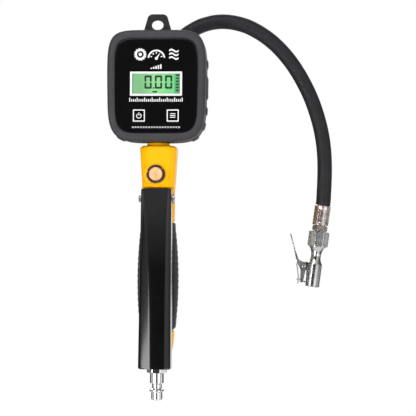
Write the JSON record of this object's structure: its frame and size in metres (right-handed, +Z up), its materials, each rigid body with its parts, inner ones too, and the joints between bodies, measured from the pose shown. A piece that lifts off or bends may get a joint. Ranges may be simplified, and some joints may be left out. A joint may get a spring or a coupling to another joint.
{
  "type": "tyre inflator with gauge",
  "caption": "Hand tyre inflator: digital gauge head in a rubber boot, squeeze lever on a die-cast handle, bleed button, air inlet plug, and a rubber hose with a clip-on chuck.",
  "frame": {"origin": "centre of the hanging hole in the tab above the gauge head, in the middle of the tab's thickness", "axes": "+Z up along the tool as it hangs, -Y is the side that the display faces, +X to the right of the display"},
  "size_m": [0.1927, 0.0555, 0.334],
  "materials": {
    "boot_rubber": "matte moulded, fine grain",
    "case_plastic": "fine moulded texture",
    "face_gloss": "polished black",
    "display_white": "satin printed white",
    "display_lens": "polished",
    "lcd_glass": "green backlit display",
    "circuit_board": "solder mask",
    "cell_sleeve": "satin",
    "bright_steel": "bright zinc plate",
    "spring_steel": "bright stamped",
    "brass": "turned",
    "yellow_paint": "gloss powder coat",
    "grip_rubber": "matte, fine cross ribs",
    "black_paint": "gloss black",
    "chrome": "polished",
    "copper_cap": "brushed copper",
    "nickel_crimp": "nickel plate, crimped",
    "hose_rubber": "matte, fine cloth print",
    "seal_rubber": "matte"
  },
  "bodies": {
    "body": {"gauge_boot": "boot_rubber", "case_front": "case_plastic", "case_back": "case_plastic", "battery_door": "case_plastic", "face_panel": "face_gloss", "display_frame": "display_white", "display_lens": "display_lens", "lcd_module": "lcd_glass", "circuit_board": "circuit_board", "upper_cell": "cell_sleeve", "lower_cell": "cell_sleeve", "power_switch": "bright_steel", "function_switch": "bright_steel", "left_contact": "bright_steel", "right_contact": "bright_steel", "door_screw": "bright_steel", "case_screw_1": "bright_steel", "case_screw_2": "bright_steel", "case_screw_3": "bright_steel", "case_screw_4": "bright_steel", "pressure_sensor": "bright_steel", "lever_pin": "bright_steel", "pin_clip": "bright_steel", "bleed_spring": "spring_steel", "valve_spring": "spring_steel", "clip_pin": "spring_steel", "gauge_stem": "brass", "valve_gland": "brass", "valve_cap": "brass", "hose_adaptor": "brass", "chuck_nipple": "brass", "chuck_core": "brass", "inlet_filter": "brass", "body_casting": "yellow_paint", "handle_grip": "grip_rubber", "bleed_collar": "chrome", "inlet_plug": "chrome", "chuck_body": "chrome", "body_ferrule": "nickel_crimp", "hose_ferrule": "nickel_crimp", "hose": "hose_rubber", "port_seal": "seal_rubber", "inlet_seal": "seal_rubber", "chuck_seal": "seal_rubber"},
    "lever": {"lever": "black_paint"},
    "valve": {"valve_stem": "bright_steel", "valve_seal": "seal_rubber"},
    "bleed": {"bleed_button": "copper_cap", "bleed_seal": "seal_rubber"},
    "power_key": {"power_button": "face_gloss"},
    "function_key": {"function_button": "face_gloss"},
    "clip": {"clip_lever": "spring_steel", "clip_spring": "spring_steel"}
  },
  "joints": [
    {"name": "lever_hinge", "type": "hinge", "parent": "body", "child": "lever", "pos_m": [0, 0, -0.1478], "axis": [1, 0, 0], "range_deg": [0, 5], "stiffness_Nm_per_rad": 4, "springref_deg": -8.59},
    {"name": "valve_slide", "type": "slide", "parent": "body", "child": "valve", "axis": [0, 1, 0], "range_m": [0, 0.0011], "deforming": ["valve_spring"]},
    {"name": "bleed_press", "type": "slide", "parent": "body", "child": "bleed", "axis": [0, 1, 0], "range_m": [0, 0.0016], "stiffness_N_per_m": 500, "springref_m": -0.003, "deforming": ["bleed_spring"]},
    {"name": "power_press", "type": "slide", "parent": "body", "child": "power_key", "axis": [0, 1, 0], "range_m": [0, 0.0006], "stiffness_N_per_m": 1500, "springref_m": -0.0004},
    {"name": "function_press", "type": "slide", "parent": "body", "child": "function_key", "axis": [0, 1, 0], "range_m": [0, 0.0006], "stiffness_N_per_m": 1500, "springref_m": -0.0004},
    {"name": "clip_hinge", "type": "hinge", "parent": "body", "child": "clip", "pos_m": [0.12572, 0.027, -0.20499], "axis": [0, 1, 0], "range_deg": [0, 20], "stiffness_Nm_per_rad": 0.15, "springref_deg": -11.46}
  ],
  "couplings": [
    {"joint": "valve_slide", "follows": "lever_hinge", "m_per_rad": 0.0122}
  ]
}
